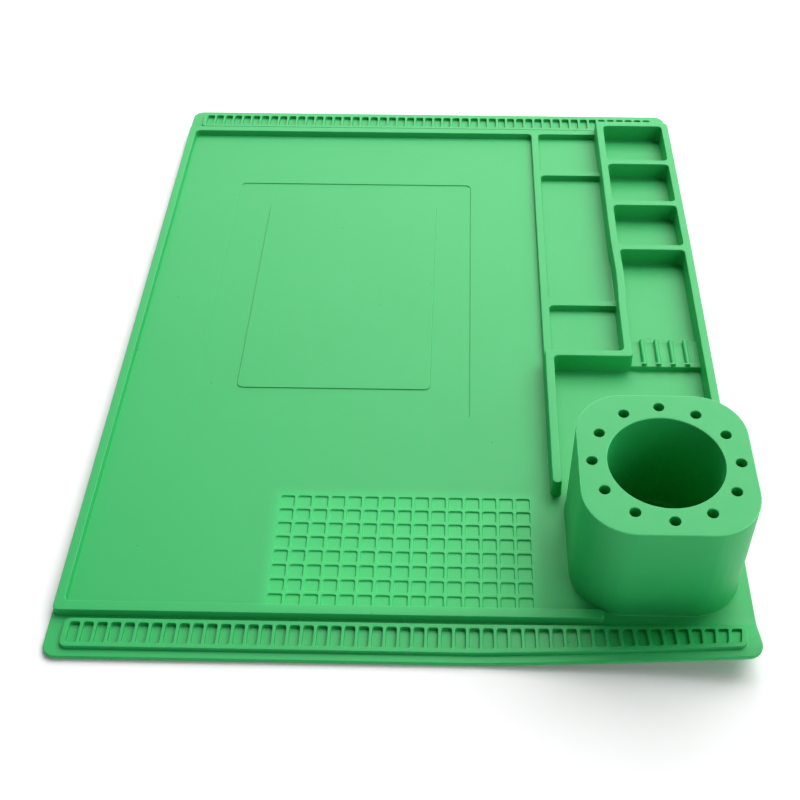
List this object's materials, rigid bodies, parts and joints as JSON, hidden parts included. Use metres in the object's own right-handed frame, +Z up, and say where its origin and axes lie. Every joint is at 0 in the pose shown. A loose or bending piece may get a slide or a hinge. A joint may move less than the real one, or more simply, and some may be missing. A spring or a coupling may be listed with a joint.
{
  "type": "silicone work mat",
  "caption": "One-piece silicone bench mat with a flat work tray, side trays, ladder strips, a pocket grid and a tall tool cup in one corner.",
  "frame": {"origin": "centre of the flat underside, on the surface that the mat lies on", "axes": "+X along the ladder strips towards the tray column, +Y away from the cup end, +Z up"},
  "size_m": [0.312, 0.416, 0.06],
  "materials": {
    "silicone": "soft satin green silicone, semi-matt"
  },
  "bodies": {
    "root": {"work_mat": "silicone"}
  },
  "joints": []
}
